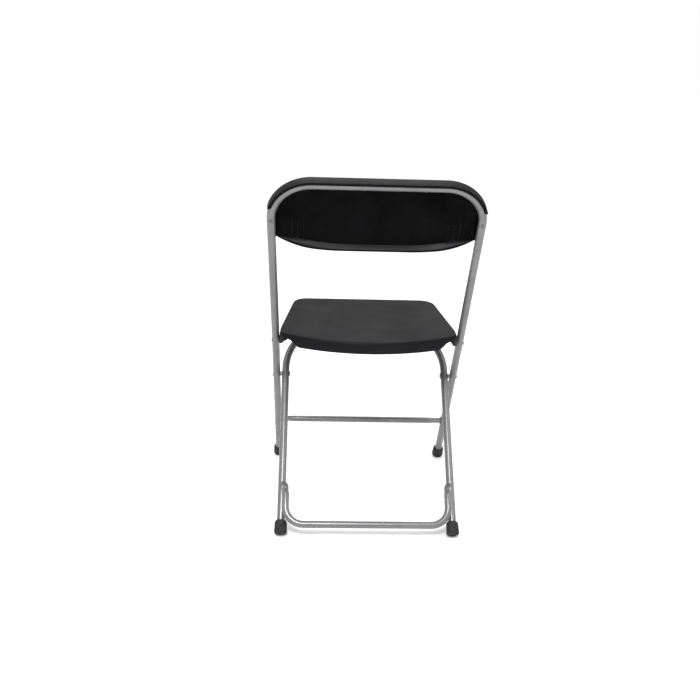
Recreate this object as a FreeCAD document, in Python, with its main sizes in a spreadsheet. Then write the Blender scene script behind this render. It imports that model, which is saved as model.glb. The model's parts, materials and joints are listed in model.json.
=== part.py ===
import FreeCAD, Part
import Sketcher
import math
import os

from FreeCAD import Placement, Rotation, Vector

# Folding chair: a long bent tube carries the backrest and stands on the front feet, a second bent tube
# crosses it and stands on the rear feet, and the seat is riveted to the first and rests on the second.
# X is across the chair, the sitter faces -Y, +Z is up, and the origin is on the floor under its middle.

doc = FreeCAD.newDocument("FoldingChair")
sheet = doc.addObject("Spreadsheet::Sheet", "Sizes")

SIZES = [
    # frame geometry: heights, leans from the vertical and widths between tube axes
    ("pivot_height", 292.1),
    ("front_lean_angle", 29.6),
    ("back_lean_angle", 25.6),
    ("rear_lean_angle", 44.2),
    ("frame_spread", 436.0),
    ("top_splay", 4.5),
    ("leg_gap", 3.75),
    ("hinge_distance", 123.4),
    ("bend_above_hinge", 9.9),
    ("back_length", 419.3),
    ("back_bend_radius", 160.0),
    ("top_corner_radius", 85.0),
    ("bar_distance", 140.0),
    ("bar_bend_start", 15.0),
    # tubes
    ("tube_diameter", 18.0),
    ("tube_wall", 1.3),
    ("front_stretcher_diameter", 15.0),
    ("front_stretcher_drop", 180.0),
    ("stretcher_wall", 1.2),
    ("rear_stretcher_diameter", 16.0),
    ("rear_stretcher_above_sole", 18.4),
    ("rear_stretcher_corner", 42.0),
    ("rear_stretcher_rise", 100.0),
    ("rear_stretcher_place_angle", 56.0),
    ("crimp_length", 30.0),
    ("crimp_width", 19.0),
    ("crimp_thickness", 8.0),
    ("crimp_seat", 1.5),
    ("weld_size", 3.2),
    ("weld_toe", 1.3),
    ("weld_run", 12.0),
    # feet
    ("foot_wall", 5.6),
    ("foot_top_wall", 4.6),
    ("foot_length", 31.0),
    ("foot_sole", 9.0),
    ("foot_round", 5.0),
    ("foot_flat_depth", 1.3),
    # rivets, bushes and screws
    ("rivet_radius", 3.2),
    ("rivet_head_radius", 6.6),
    ("rivet_head_height", 2.4),
    ("rivet_head_rim", 1.0),
    ("rivet_crown_radius", 4.0),
    ("bush_wall", 1.4),
    ("bush_flange", 1.0),
    ("spacer_radius", 5.6),
    ("screw_radius", 2.1),
    ("screw_head_radius", 4.4),
    ("screw_head_height", 2.0),
    ("screw_head_rim", 0.8),
    ("screw_crown_radius", 2.6),
    ("screw_drop", 85.0),
    ("screw_bite", 3.0),
    # clearances
    ("push_clearance", 0.1),
    ("pin_clearance", 0.05),
    ("moving_clearance", 0.3),
    ("shell_clearance", 0.2),
    # backrest shell
    ("shell_panel", 4.0),
    ("shell_rim", 2.6),
    ("shell_hook_lap", 2.0),
    ("shell_hook_drop", 57.0),
    ("shell_lip", 9.0),
    ("shell_lip_end_inset", 67.5),
    ("shell_lip_drop", 137.3),
    ("shell_bottom_drop", 158.3),
    ("shell_bottom_inset", 80.4),
    ("shell_side_reach", 5.0),
    ("shell_side_drop", 131.1),
    ("shell_side_round", 22.0),
    ("shell_side_straight", 17.7),
    ("shell_bulge", 8.0),
    ("shell_bulge_drop", 19.3),
    ("shell_land_gap", 2.0),
    # seat
    ("seat_top", 28.5),
    ("seat_skin", 3.5),
    ("seat_apron", 27.5),
    ("seat_apron_wall", 3.0),
    ("seat_front", 249.0),
    ("seat_front_taper", 27.9),
    ("seat_front_round", 40.0),
    ("seat_side_gap", 0.6),
    ("seat_side_place", 8.0),
    ("seat_side_round", 200.0),
    ("seat_corner_place", 36.0),
    ("seat_corner_inset", 1.5),
    ("seat_corner_round", 28.0),
    ("seat_rear_peak", 138.0),
    ("seat_rear_straight", 41.0),
    ("arch_inset", 22.4),
    ("arch_radius", 14.0),
    ("arch_height", 5.0),
    ("ear_thickness", 6.0),
    ("ear_gap", 0.4),
    ("ear_radius", 9.0),
    ("ear_half_length", 42.0),
    ("ear_root", 16.0),
    ("ear_foot_half", 7.0),
    ("ear_foot_drop", 6.0),
    ("track_middle", 45.0),
    ("track_half_gap", 10.0),
    ("track_drop", 2.2),
    ("track_rib", 3.0),
    ("track_front", 235.0),
    ("track_rear", 70.0),
    ("track_stop", 8.0),
    ("track_stop_depth", 12.0),
    ("sleeve_wall", 1.5),
    ("sleeve_length", 36.0),
]

for row, (alias, value) in enumerate(SIZES, start=1):
    sheet.set(f"A{row}", alias)
    sheet.set(f"B{row}", str(value))
    sheet.setAlias(f"B{row}", alias)
doc.recompute()


def size(alias):
    return float(sheet.get(alias))


# Places that follow from the sizes

X_AXIS = Vector(1, 0, 0)
Z_AXIS = Vector(0, 0, 1)
LEFT, RIGHT = 1, -1
SIDES = {"left": LEFT, "right": RIGHT}


def leaning(lean_degrees):
    # a direction that rises towards the rear at this lean from the vertical
    lean = math.radians(lean_degrees)
    return Vector(0, math.sin(lean), math.cos(lean))


tube_radius = size("tube_diameter") / 2
half_frame = size("frame_spread") / 2
half_top = half_frame + size("top_splay")
half_rear = half_frame - size("tube_diameter") - size("leg_gap")
half_seat = half_frame - tube_radius - size("seat_side_gap")
foot_inner_radius = tube_radius + size("foot_wall") - size("foot_round")
back_length = size("back_length")
slab_edge = half_top + size("tube_diameter")
slab_top = 2 * back_length

front_up = leaning(size("front_lean_angle"))
back_up = leaning(size("back_lean_angle"))
rear_up = leaning(-size("rear_lean_angle"))
rear_behind = Vector(0, rear_up.z, -rear_up.y)

# the seat tilts until its tracks rest on the sleeves of the rear legs' top bar
bar_reach = tube_radius + size("sleeve_wall") + size("moving_clearance")
hinge_to_bar = rear_up * size("bar_distance") - front_up * size("hinge_distance")
seat_tilt = math.asin((size("track_drop") + bar_reach) / hinge_to_bar.Length)
seat_tilt -= math.atan2(-hinge_to_bar.z, -hinge_to_bar.y)


def leg_length(lean_degrees):
    # from the pivot to the end of the foot, whose rounded edge is ground off flat at the floor
    lean = math.radians(lean_degrees)
    height = size("pivot_height") + size("foot_flat_depth")
    height += size("foot_round") * (math.cos(lean) - 1) - foot_inner_radius * math.sin(lean)
    return height / math.cos(lean)


front_leg = leg_length(size("front_lean_angle"))
rear_leg = leg_length(size("rear_lean_angle"))


def reach_behind_pivot():
    # the back of the rear feet
    lean = math.radians(size("rear_lean_angle"))
    axis_end = (rear_leg - size("foot_round")) * math.sin(lean)
    return axis_end + foot_inner_radius * math.cos(lean) + size("foot_round")


def reach_before_pivot():
    # the lower edge of the seat's front
    bottom = size("seat_top") - size("seat_apron")
    edge = size("seat_front") * math.cos(seat_tilt) - bottom * math.sin(seat_tilt)
    return edge - front_up.y * size("hinge_distance")


pivot = Vector(0, (reach_before_pivot() - reach_behind_pivot()) / 2, size("pivot_height"))
hinge = pivot + front_up * size("hinge_distance")
bend = hinge + front_up * size("bend_above_hinge")
bar = pivot + rear_up * size("bar_distance")

back_frame = Placement(bend, Rotation(X_AXIS, 90 - size("back_lean_angle")))
seat_frame = Placement(hinge, Rotation(X_AXIS, -math.degrees(seat_tilt)))
bar_in_seat = seat_frame.inverse().multVec(bar)


def across(point, x):
    return Vector(x, point.y, point.z)


# Helpers that add objects to the document

nodes = {}


def name_node(label, item):
    item.Label = label
    nodes[label] = item
    return item


def origin_plane(body, role):
    return next(plane for plane in body.Origin.OriginFeatures if plane.Role == role)


def corner_sketch(body, name, role, corners):
    # a closed outline of straight lines, each corner held by two expressions
    sketch = body.newObject("Sketcher::SketchObject", name)
    sketch.AttachmentSupport = (origin_plane(body, role), [""])
    sketch.MapMode = "FlatFace"
    places = [Vector(sketch.evalExpression(x), sketch.evalExpression(y), 0) for x, y in corners]
    for start, end in zip(places, places[1:] + places[:1]):
        sketch.addGeometry(Part.LineSegment(start, end), False)
    for line in range(len(corners)):
        sketch.addConstraint(Sketcher.Constraint("Coincident", line, 2, (line + 1) % len(corners), 1))
    for line, corner in enumerate(corners):
        for kind, axis, expression, value in zip(
            ("DistanceX", "DistanceY"), (-2, -1), corner, (places[line].x, places[line].y)
        ):
            if expression == "0":
                sketch.addConstraint(Sketcher.Constraint("PointOnObject", line, 1, axis))
                continue
            held = sketch.addConstraint(Sketcher.Constraint(kind, -1, 1, line, 1, value))
            sketch.setExpression(f"Constraints[{held}]", expression)
    return sketch


def turned_body(name, corners, placement):
    # corners are radius and height, turned about the body's own Z axis
    body = doc.addObject("PartDesign::Body", name)
    sketch = corner_sketch(body, name + "_profile", "XZ_Plane", corners)
    turn = body.newObject("PartDesign::Revolution", name + "_turn")
    turn.Profile = sketch
    turn.ReferenceAxis = (sketch, ["V_Axis"])
    turn.Angle = 360
    sketch.Visibility = False
    body.Placement = placement
    return body


def padded_body(name, role, corners, length, placement):
    body = doc.addObject("PartDesign::Body", name)
    sketch = corner_sketch(body, name + "_profile", role, corners)
    pad = body.newObject("PartDesign::Pad", name + "_pad")
    pad.Profile = sketch
    pad.setExpression("Length", length)
    pad.Midplane = True
    body.Placement = placement
    return body


def cylinder(name, radius, height, placement):
    item = doc.addObject("Part::Cylinder", name)
    item.setExpression("Radius", radius)
    item.setExpression("Height", height)
    item.Placement = placement
    return item


def box(name, low, sides):
    # sides are the three lengths from its low corner
    item = doc.addObject("Part::Box", name)
    for side, length in zip(("Length", "Width", "Height"), sides):
        item.setExpression(side, length)
    item.Placement = Placement(low, Rotation())
    return item


def along(start, direction):
    # a placement whose Z axis runs from start in this direction
    return Placement(start, Rotation(Z_AXIS, direction))


def fuse(name, items):
    item = doc.addObject("Part::MultiFuse", name)
    item.Shapes = items
    return item


def cut(name, base, tool):
    item = doc.addObject("Part::Cut", name)
    item.Base = base
    item.Tool = tool
    return item


def common(name, base, tool):
    item = doc.addObject("Part::Common", name)
    item.Base = base
    item.Tool = tool
    return item


def bent_path(points, radii):
    # straight runs joined by tangent arcs, one radius for each point between the ends
    edges = []
    start = points[0]
    for before, corner, after, radius in zip(points, points[1:], points[2:], radii):
        back = (before - corner).normalize()
        onward = (after - corner).normalize()
        turn = math.pi - back.getAngle(onward)
        setback = radius * math.tan(turn / 2)
        middle = corner + (back + onward).normalize() * (radius / math.cos(turn / 2) - radius)
        edges.append(Part.LineSegment(start, corner + back * setback).toShape())
        edges.append(Part.Arc(corner + back * setback, middle, corner + onward * setback).toShape())
        start = corner + onward * setback
    edges.append(Part.LineSegment(start, points[-1]).toShape())
    return Part.Wire(edges)


def rounded_outline(corners):
    # a closed flat outline: each corner is x, y and the radius that rounds it
    places = [Vector(x, y, 0) for x, y, radius in corners]
    middle = (places[-1] + places[0]) / 2
    path = bent_path([middle] + places + [middle], [radius for x, y, radius in corners])
    return Part.Wire(path.Edges)


def mirrored(corners):
    return [(-x, y, radius) for x, y, radius in reversed(corners)]


def round_after_straight(straight, before, corner, after):
    # the radius whose arc about this corner begins a straight stretch away from the corner before it
    back = Vector(*before, 0) - Vector(*corner, 0)
    onward = Vector(*after, 0) - Vector(*corner, 0)
    turn = math.pi - back.getAngle(onward)
    return (back.Length - straight) / math.tan(turn / 2)


def swept(name, path, radius):
    start = path.Shape.Edges[0]
    section = doc.addObject("Part::Circle", name + "_section")
    section.setExpression("Radius", radius)
    section.Placement = along(start.Vertexes[0].Point, start.Vertexes[1].Point - start.Vertexes[0].Point)
    sweep = doc.addObject("Part::Sweep", name)
    sweep.Sections = [section]
    sweep.Spine = (path, [f"Edge{count + 1}" for count in range(len(path.Shape.Edges))])
    sweep.Solid = True
    return sweep


def path_object(name, points, radii):
    path = doc.addObject("Part::Feature", name)
    path.Shape = bent_path(points, radii)
    return path


def extruded(name, outline, below, above):
    # from this far below the flat outline to this far above it
    prism = doc.addObject("Part::Extrusion", name)
    prism.Base = outline
    prism.DirMode = "Custom"
    prism.Dir = Z_AXIS
    prism.setExpression("LengthFwd", above)
    prism.setExpression("LengthRev", below)
    prism.Solid = True
    return prism


def oval_section(name, centre, along_way, long_way, swell="0"):
    # the outline of a crimped tube end, or of what lies this far around it
    oval = doc.addObject("Part::Ellipse", name)
    oval.setExpression("MajorRadius", f"Sizes.crimp_width/2 + {swell}")
    oval.setExpression("MinorRadius", f"Sizes.crimp_thickness/2 + {swell}")
    oval.Placement = Placement(centre, Rotation(long_way, along_way.cross(long_way), along_way, "ZXY"))
    return oval


def lofted(name, sections):
    loft = doc.addObject("Part::Loft", name)
    loft.Sections = sections
    loft.Solid = True
    return loft


def crimped_end(name, centre, direction, end_shift, long_way, diameter):
    # a round tube's end pressed to a flat oval, whose long side lies this way
    start = doc.addObject("Part::Circle", name + "_round")
    start.setExpression("Radius", diameter + "/2")
    start.Placement = Placement(centre, Rotation(long_way, direction.cross(long_way), direction, "ZXY"))
    end = centre + direction * size("crimp_length") + end_shift
    return lofted(name, [start, oval_section(name + "_oval", end, direction, long_way)])


# Back frame: long tube and its stretcher


def swept_tube(name, points, radii, diameter, wall):
    # returns the path's outside solid and its bore
    path = path_object(name + "_path", points, radii)
    outside = swept(name + "_outside", path, f"Sizes.{diameter}/2")
    bore = swept(name + "_bore", path, f"Sizes.{diameter}/2 - Sizes.{wall}")
    return outside, bore


def cross_drill(name, radius, place):
    # a straight hole from side to side of the chair
    reach = half_top + size("tube_diameter")
    return cylinder(name, radius, str(2 * reach), along(across(place, -reach), X_AXIS))


def screw_place(side):
    # the screw's axis crosses the leaning tube, which also splays towards the top
    height = back_length - size("screw_drop")
    return Vector(side * (half_frame + size("top_splay") * height / back_length), height, 0)


def screw_drill(label, side):
    # right through the tube from behind
    start = screw_place(side) - Z_AXIS * size("tube_diameter")
    place = back_frame.multiply(Placement(start, Rotation()))
    radius = "Sizes.screw_radius + Sizes.pin_clearance"
    return cylinder(f"tube_screw_drill_{label}", radius, "2*Sizes.tube_diameter", place)


def make_back_frame_tube():
    foot = pivot - front_up * (front_leg - size("foot_sole"))
    top = bend + back_up * back_length
    left = [across(foot, half_frame), across(bend, half_frame), across(top, half_top)]
    right = [Vector(-point.x, point.y, point.z) for point in reversed(left)]
    side_bend, corner = size("back_bend_radius"), size("top_corner_radius")
    outside, bore = swept_tube(
        "back_tube", left + right, [side_bend, corner, corner, side_bend], "tube_diameter", "tube_wall"
    )
    rivet_hole = "Sizes.rivet_radius + Sizes.pin_clearance"
    holes = [bore]
    holes += [cross_drill("pivot_drill", rivet_hole, pivot), cross_drill("hinge_drill", rivet_hole, hinge)]
    for label, side in SIDES.items():
        holes.append(screw_drill(label, side))
    tube = cut("back_tube_drilled", outside, fuse("back_tube_holes", holes))
    name_node("back_frame_tube", tube)
    return outside


def weld_collar(name, joint, outward, long_way):
    # weld about a crimped end, narrowing along it from the tube that it is welded to
    wide = oval_section(
        name + "_wide", joint + outward * (tube_radius / 2), outward, long_way, "Sizes.weld_size"
    )
    slim = oval_section(
        name + "_slim", joint - outward * size("weld_size"), outward, long_way, "Sizes.weld_toe"
    )
    return lofted(name, [wide, slim])


def make_front_stretcher(tube_outside):
    middle = pivot - front_up * size("front_stretcher_drop")
    face = half_frame - tube_radius
    inner = face + size("crimp_seat") - size("crimp_length")
    length = "Sizes.frame_spread - Sizes.tube_diameter + 2*(Sizes.crimp_seat - Sizes.crimp_length)"
    start = along(across(middle, -inner), X_AXIS)
    solids = [cylinder("front_bar", "Sizes.front_stretcher_diameter/2", length, start)]
    collars = []
    for label, side in SIDES.items():
        outward = X_AXIS * side
        crimp_start = across(middle, side * inner)
        solids.append(
            crimped_end(
                f"front_crimp_{label}", crimp_start, outward, Vector(), front_up,
                "Sizes.front_stretcher_diameter",
            )
        )
        collars.append(weld_collar(f"front_bead_{label}", across(middle, side * face), outward, front_up))
    whole = fuse("front_bar_solid", solids)
    bore_radius = "Sizes.front_stretcher_diameter/2 - Sizes.stretcher_wall"
    bore = cylinder("front_bar_bore", bore_radius, length, start)
    name_node("front_stretcher", cut("front_bar_coped", cut("front_bar_hollow", whole, bore), tube_outside))
    beads = cut("front_beads_cut", fuse("front_beads", collars), fuse("front_joint", [tube_outside, whole]))
    name_node("front_weld_beads", beads)


# Rear legs


def rear_place(x, up, behind=0.0):
    # a place on the rear legs: x across, up from the pivot along the leg, behind the leg's axis
    return across(pivot + rear_up * up + rear_behind * behind, x)


def make_rear_leg_tube():
    foot = size("foot_sole") - rear_leg
    top = size("bar_distance")
    points = [rear_place(half_rear, foot), rear_place(half_rear, top)]
    points += [rear_place(-half_rear, top), rear_place(-half_rear, foot)]
    # the bends leave room for the sleeves on the straight middle of the bar
    sleeve_end = size("track_middle") + size("sleeve_length") / 2 + size("moving_clearance")
    radius = min(size("bar_distance") - size("bar_bend_start"), half_rear - sleeve_end)
    outside, bore = swept_tube("rear_tube", points, [radius, radius], "tube_diameter", "tube_wall")
    hole = "Sizes.rivet_radius + Sizes.bush_wall + 2*Sizes.pin_clearance"
    holes = fuse("rear_tube_holes", [bore, cross_drill("bush_drill", hole, pivot)])
    name_node("rear_leg_tube", cut("rear_tube_drilled", outside, holes))
    return outside


def make_rear_stretcher(tube_outside):
    radius = size("rear_stretcher_diameter") / 2
    angle = math.radians(size("rear_stretcher_place_angle"))
    apart = tube_radius + radius + size("push_clearance")
    inward, behind = apart * math.cos(angle), apart * math.sin(angle)
    low = size("rear_stretcher_above_sole") - rear_leg
    high = low + size("rear_stretcher_rise") - size("crimp_length")
    x = half_rear - inward
    points = [rear_place(x, high, behind), rear_place(x, low, behind)]
    points += [rear_place(-x, low, behind), rear_place(-x, high, behind)]
    corner = size("rear_stretcher_corner")
    outside, bore = swept_tube(
        "rear_bar", points, [corner, corner], "rear_stretcher_diameter", "stretcher_wall"
    )
    solids = [outside]
    beads = []
    pressed = apart - tube_radius - size("crimp_thickness") / 2 - size("push_clearance")
    for label, side in SIDES.items():
        from_leg = (X_AXIS * -side * math.cos(angle) + rear_behind * math.sin(angle)).normalize()
        long_way = from_leg.cross(rear_up)
        start = rear_place(side * x, high, behind)
        solids.append(
            crimped_end(
                f"rear_crimp_{label}", start, rear_up, from_leg * -pressed, long_way,
                "Sizes.rear_stretcher_diameter",
            )
        )
        joint = rear_place(side * half_rear, high + size("crimp_length")) + from_leg * tube_radius
        bead_place = along(joint - long_way * (size("weld_run") / 2), long_way)
        beads.append(cylinder(f"rear_bead_{label}", "Sizes.weld_size", "Sizes.weld_run", bead_place))
    whole = fuse("rear_bar_solid", solids)
    joined = cut("rear_bar_hollow", whole, bore)
    name_node("rear_stretcher", cut("rear_bar_coped", joined, tube_outside))
    bead = cut("rear_beads_cut", fuse("rear_beads", beads), fuse("rear_joint", [tube_outside, whole]))
    name_node("rear_weld_beads", bead)


def make_bar_sleeves():
    # smooth sleeves on the rear legs' top bar, on which the seat's tracks slide
    inner = "Sizes.tube_diameter/2 + Sizes.push_clearance"
    outer = "Sizes.tube_diameter/2 + Sizes.sleeve_wall"
    length = "Sizes.sleeve_length"
    corners = [(inner, "0"), (outer, "0"), (outer, length), (inner, length)]
    for label, side in SIDES.items():
        start = across(bar, side * size("track_middle") - size("sleeve_length") / 2)
        name_node(f"bar_sleeve_{label}", turned_body(f"sleeve_{label}", corners, along(start, X_AXIS)))


# Feet


def make_foot(label, side, x, up, leg, floor):
    # a pushed-on cap: its socket takes the tube's end, and its sole is ground off flat at the floor
    bore = "Sizes.tube_diameter/2 + Sizes.push_clearance"
    corners = [
        ("0", "0"),
        ("Sizes.tube_diameter/2 + Sizes.foot_wall", "0"),
        ("Sizes.tube_diameter/2 + Sizes.foot_top_wall", "Sizes.foot_length"),
        (bore, "Sizes.foot_length"),
        (bore, "Sizes.foot_sole"),
        ("0", "Sizes.foot_sole"),
    ]
    sole = across(pivot - up * leg, side * x)
    body = turned_body(f"cap_{label}", corners, along(sole, up))
    doc.recompute()
    turned = body.Tip
    rim = max(
        (edge for edge in turned.Shape.Edges if abs(edge.BoundBox.ZMax) < 1e-6),
        key=lambda edge: edge.Length,
    )
    place = 1 + [edge.isSame(rim) for edge in turned.Shape.Edges].index(True)
    round_edge = body.newObject("PartDesign::Fillet", f"cap_round_{label}")
    round_edge.Base = (turned, [f"Edge{place}"])
    round_edge.setExpression("Radius", "Sizes.foot_round")
    body.Tip = round_edge
    name_node(label, cut(f"{label}_ground", body, floor))


def make_feet():
    # everything under the floor, with room to spare about the feet
    spread = size("frame_spread")
    side = "2*Sizes.frame_spread"
    floor = box("floor_block", Vector(-spread, -spread, -2 * spread), (side, side, side))
    for label, side in SIDES.items():
        make_foot(f"front_foot_{label}", side, half_frame, front_up, front_leg, floor)
        make_foot(f"rear_foot_{label}", side, half_rear, rear_up, rear_leg, floor)


# Rivets, spacers, bushes and screws


def headed_pin(name, grip, start, direction):
    # a rivet with a low head at each end; start is the inner face that its first head bears on
    radius, head, rim = "Sizes.rivet_radius", "Sizes.rivet_head_radius", "Sizes.rivet_head_rim"
    crown, height = "Sizes.rivet_crown_radius", "Sizes.rivet_head_height"
    corners = [
        ("0", "0"),
        (crown, "0"),
        (head, f"{height} - {rim}"),
        (head, height),
        (radius, height),
        (radius, f"{height} + {grip}"),
        (head, f"{height} + {grip}"),
        (head, f"{height} + {grip} + {rim}"),
        (crown, f"2*{height} + {grip}"),
        ("0", f"2*{height} + {grip}"),
    ]
    return turned_body(name, corners, along(start - direction * size("rivet_head_height"), direction))


def ring_body(name, inner, outer, length, start, direction):
    corners = [(inner, "0"), (outer, "0"), (outer, length), (inner, length)]
    return turned_body(name, corners, along(start, direction))


def make_pivot(label, side):
    outward = X_AXIS * side
    bore = "Sizes.rivet_radius + Sizes.pin_clearance"
    grip = "(2*Sizes.tube_diameter + Sizes.leg_gap + Sizes.moving_clearance)"
    bearing = across(pivot, side * (half_rear - tube_radius - size("moving_clearance")))
    name_node(f"pivot_rivet_{label}", headed_pin(f"pivot_pin_{label}", grip, bearing, outward))

    gap = "Sizes.leg_gap - Sizes.moving_clearance"
    start = across(pivot, side * (half_rear + tube_radius + size("moving_clearance")))
    spacer = ring_body(f"spacer_{label}", bore, "Sizes.spacer_radius", gap, start, outward)
    name_node(f"pivot_spacer_{label}", spacer)

    start = across(pivot, side * (half_rear - tube_radius))
    outer = bore + " + Sizes.bush_wall"
    bush = ring_body(f"leg_bush_{label}", bore, outer, "Sizes.tube_diameter", start, outward)
    name_node(f"pivot_bush_{label}", bush)


def make_seat_hinge(label, side):
    outward = X_AXIS * side
    bore = "Sizes.rivet_radius + Sizes.pin_clearance"
    outer = bore + " + Sizes.bush_wall"
    ear_inside = half_frame - tube_radius - size("ear_gap") - size("ear_thickness")
    flange_face = ear_inside - size("bush_flange")
    corners = [
        (bore, "0"),
        ("Sizes.rivet_head_radius", "0"),
        ("Sizes.rivet_head_radius", "Sizes.bush_flange"),
        (outer, "Sizes.bush_flange"),
        (outer, "Sizes.bush_flange + Sizes.ear_thickness"),
        (bore, "Sizes.bush_flange + Sizes.ear_thickness"),
    ]
    bush = turned_body(f"ear_bush_{label}", corners, along(across(hinge, side * flange_face), outward))
    name_node(f"seat_bush_{label}", bush)

    grip = "(Sizes.tube_diameter + Sizes.ear_gap + Sizes.ear_thickness + Sizes.bush_flange"
    grip += " + Sizes.moving_clearance)"
    bearing = across(hinge, side * (flange_face - size("moving_clearance")))
    name_node(f"seat_rivet_{label}", headed_pin(f"seat_pin_{label}", grip, bearing, outward))


def make_backrest_screws():
    radius, head = "Sizes.screw_radius", "Sizes.screw_head_radius"
    height, rim = "Sizes.screw_head_height", "Sizes.screw_head_rim"
    tip = f"{height} + Sizes.tube_diameter + Sizes.shell_clearance + Sizes.screw_bite"
    corners = [
        ("0", "0"),
        ("Sizes.screw_crown_radius", "0"),
        (head, f"{height} - {rim}"),
        (head, height),
        (radius, height),
        (radius, tip),
        ("0", tip),
    ]
    screws = []
    for label, side in SIDES.items():
        behind = screw_place(side) - Z_AXIS * (tube_radius + size("screw_head_height"))
        place = back_frame.multiply(Placement(behind, Rotation()))
        screws.append(turned_body(f"screw_{label}", corners, place))
    name_node("backrest_screws", fuse("screw_pair", screws))


# Backrest shell, in the back frame's own plane


def flat_wire(name, corners):
    outline = doc.addObject("Part::Feature", name)
    outline.Shape = rounded_outline(corners)
    return outline


def inset_wire(name, outline, wall):
    inset = doc.addObject("Part::Offset2D", name)
    inset.Source = outline
    inset.setExpression("Value", f"-Sizes.{wall}")
    return inset


def straight(start, end):
    return Part.LineSegment(start, end).toShape()


def bowed_row(height, depth, bulge):
    # one line across the panel: flat lands beside the tubes and a bowed middle between them
    land = half_frame - tube_radius - size("shell_land_gap")
    ends = [Vector(x, height, depth) for x in (-slab_edge, -land, land, slab_edge)]
    middle = straight(ends[1], ends[2])
    if bulge:
        middle = Part.Arc(ends[1], Vector(0, height, depth - bulge), ends[2]).toShape()
    return [straight(ends[0], ends[1]), middle, straight(ends[2], ends[3])]


def bowed_slab(name, rear, front, rear_bows):
    # everything between a rear depth and the panel's bowed front face; the bow fades out upwards
    heights = [
        (back_length - size("shell_bottom_drop") - size("shell_rim"), size("shell_bulge")),
        (back_length - size("shell_bulge_drop"), 0),
        (slab_top, 0),
    ]
    sections = []
    for height, bulge in heights:
        back_row = bowed_row(height, rear, bulge if rear_bows else 0)
        front_row = bowed_row(height, front, bulge)
        left, right = (
            straight(Vector(x, height, rear), Vector(x, height, front)) for x in (-slab_edge, slab_edge)
        )
        sections.append(Part.Wire(back_row + [right] + front_row[::-1] + [left]))
    slab = doc.addObject("Part::Feature", name)
    lower = Part.makeLoft(sections[:2], True, True)
    upper = Part.makeLoft(sections[1:], True, True)
    slab.Shape = lower.fuse(upper)
    return slab


def plate_corners():
    # the panel: a long curve below, small rounds at the sides, and the tube's own bends at the top
    bottom = (half_top - size("shell_bottom_inset"), back_length - size("shell_bottom_drop"))
    side = (half_top + size("shell_side_reach"), back_length - size("shell_side_drop"))
    long_curve = round_after_straight(size("shell_side_straight"), side, bottom, (-bottom[0], bottom[1]))
    corner_round = size("top_corner_radius") + tube_radius
    right = [
        (*bottom, long_curve),
        (*side, size("shell_side_round")),
        (half_top + tube_radius, back_length + tube_radius, corner_round),
    ]
    return right + mirrored(right)


def rim_corners():
    # the wall that hooks over the tube, concentric with its bends
    around_tube = tube_radius + size("shell_clearance") + size("shell_rim")
    right = [
        (half_frame + around_tube, 0, size("shell_rim")),
        (half_top + around_tube, back_length + around_tube, size("top_corner_radius") + around_tube),
    ]
    return right + mirrored(right)


def make_backrest_shell():
    near = tube_radius + size("shell_clearance")
    front = near + size("shell_panel")
    rear = -tube_radius - size("shell_hook_lap")
    below = "Sizes.tube_diameter/2 + Sizes.shell_hook_lap"
    above = "Sizes.tube_diameter/2 + Sizes.shell_clearance + Sizes.shell_panel"
    depth = f"{below} + {above}"

    prisms = {}
    for name, corners in (("plate", plate_corners()), ("rim", rim_corners())):
        outline = flat_wire(name + "_outline", corners)
        inset = inset_wire(name + "_inset", outline, "shell_rim")
        prisms[name] = extruded(name + "_prism", outline, below, above)
        prisms[name + "_inside"] = extruded(name + "_inside", inset, below, above)

    hook_range = box(
        "hook_range", Vector(-slab_edge, back_length - size("shell_hook_drop"), rear),
        (str(2 * slab_edge), str(slab_top), depth),
    )
    lip_end = half_top - size("shell_lip_end_inset")
    lip_range = box(
        "lip_range", Vector(-lip_end, 0, -size("shell_lip")),
        (str(2 * lip_end), "Sizes.back_length - Sizes.shell_lip_drop", depth),
    )
    sheet_slab = bowed_slab("sheet_slab", near, front, True)
    deep_slab = bowed_slab("deep_slab", rear, front, False)

    rim_above = common("rim_above", prisms["rim"], hook_range)
    panel = common("shell_panel_cut", fuse("shell_plan", [prisms["plate"], rim_above]), sheet_slab)
    hook = common("shell_hook_wall", cut("rim_wall", rim_above, prisms["rim_inside"]), deep_slab)
    plate_wall = cut("plate_wall", prisms["plate"], prisms["plate_inside"])
    lip = common("shell_lip_wall", common("lip_wall", plate_wall, lip_range), deep_slab)
    holes = []
    for label, side in SIDES.items():
        start = screw_place(side) + Z_AXIS * tube_radius
        depth = "Sizes.shell_clearance + Sizes.screw_bite + Sizes.push_clearance"
        radius = "Sizes.screw_radius + Sizes.pin_clearance"
        holes.append(cylinder(f"shell_screw_drill_{label}", radius, depth, Placement(start, Rotation())))
    shell = cut("shell_drilled", fuse("shell_solid", [panel, hook, lip]), fuse("shell_screw_drills", holes))
    shell.Placement = back_frame
    name_node("backrest_shell", shell)


# Seat shell, in the seat's own plane


def seat_corners():
    # straight front, tapering sides and a long curve behind
    corner = (half_seat - size("seat_corner_inset"), size("seat_corner_place"))
    peak = (0, size("seat_rear_peak"))
    long_curve = round_after_straight(size("seat_rear_straight"), corner, peak, (-corner[0], corner[1]))
    right = [
        (half_seat - size("seat_front_taper"), -size("seat_front"), size("seat_front_round")),
        (half_seat, -size("seat_side_place"), size("seat_side_round")),
        (*corner, size("seat_corner_round")),
    ]
    return right + [(*peak, long_curve)] + mirrored(right)


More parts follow.
